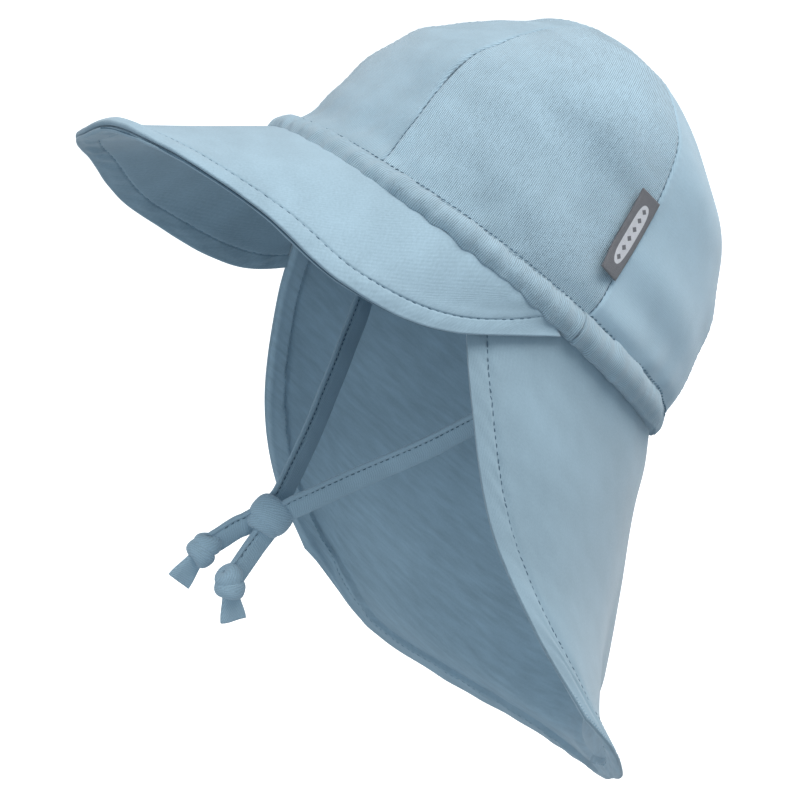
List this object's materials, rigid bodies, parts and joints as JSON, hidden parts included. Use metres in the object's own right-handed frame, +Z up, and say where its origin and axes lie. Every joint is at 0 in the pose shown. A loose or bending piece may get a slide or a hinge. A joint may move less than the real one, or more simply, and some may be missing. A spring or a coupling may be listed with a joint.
{
  "type": "toddler sun cap",
  "caption": "Soft jersey sun cap with a domed panelled crown, curved peak, hanging neck flap and a knotted chin strap.",
  "frame": {"origin": "middle of the head opening, in the plane of the band's lower edge, where a head fills the cap", "axes": "+X towards the wearer's left, -Y towards the wearer's front, +Z up; the cap leans back by 42.7 degrees, as the picture shows it worn, with the flap hanging straight down"},
  "size_m": [0.194, 0.2146, 0.2623],
  "materials": {
    "crown_jersey": "fine ribbed cotton jersey, light steel blue",
    "band_jersey": "the same jersey, its ribs across the rolled band",
    "peak_jersey": "the same jersey, in two layers with a stitched border",
    "flap_jersey": "the same jersey, one layer with a narrow stitched hem",
    "woven_tab": "grey woven tape, bare",
    "strap_jersey": "the same jersey folded into a flat strip, stitched along one edge"
  },
  "bodies": {
    "root": {"crown_front": "crown_jersey", "crown_left_front": "crown_jersey", "crown_left_back": "crown_jersey", "crown_back": "crown_jersey", "crown_right_back": "crown_jersey", "crown_right_front": "crown_jersey", "head_band": "band_jersey", "peak": "peak_jersey", "neck_flap": "flap_jersey", "sewn_tab": "woven_tab", "strap_left": "strap_jersey", "strap_right": "strap_jersey", "chin_knot": "strap_jersey", "tail_left": "strap_jersey", "tail_right": "strap_jersey", "end_knot_left": "strap_jersey", "end_knot_right": "strap_jersey"}
  },
  "joints": []
}
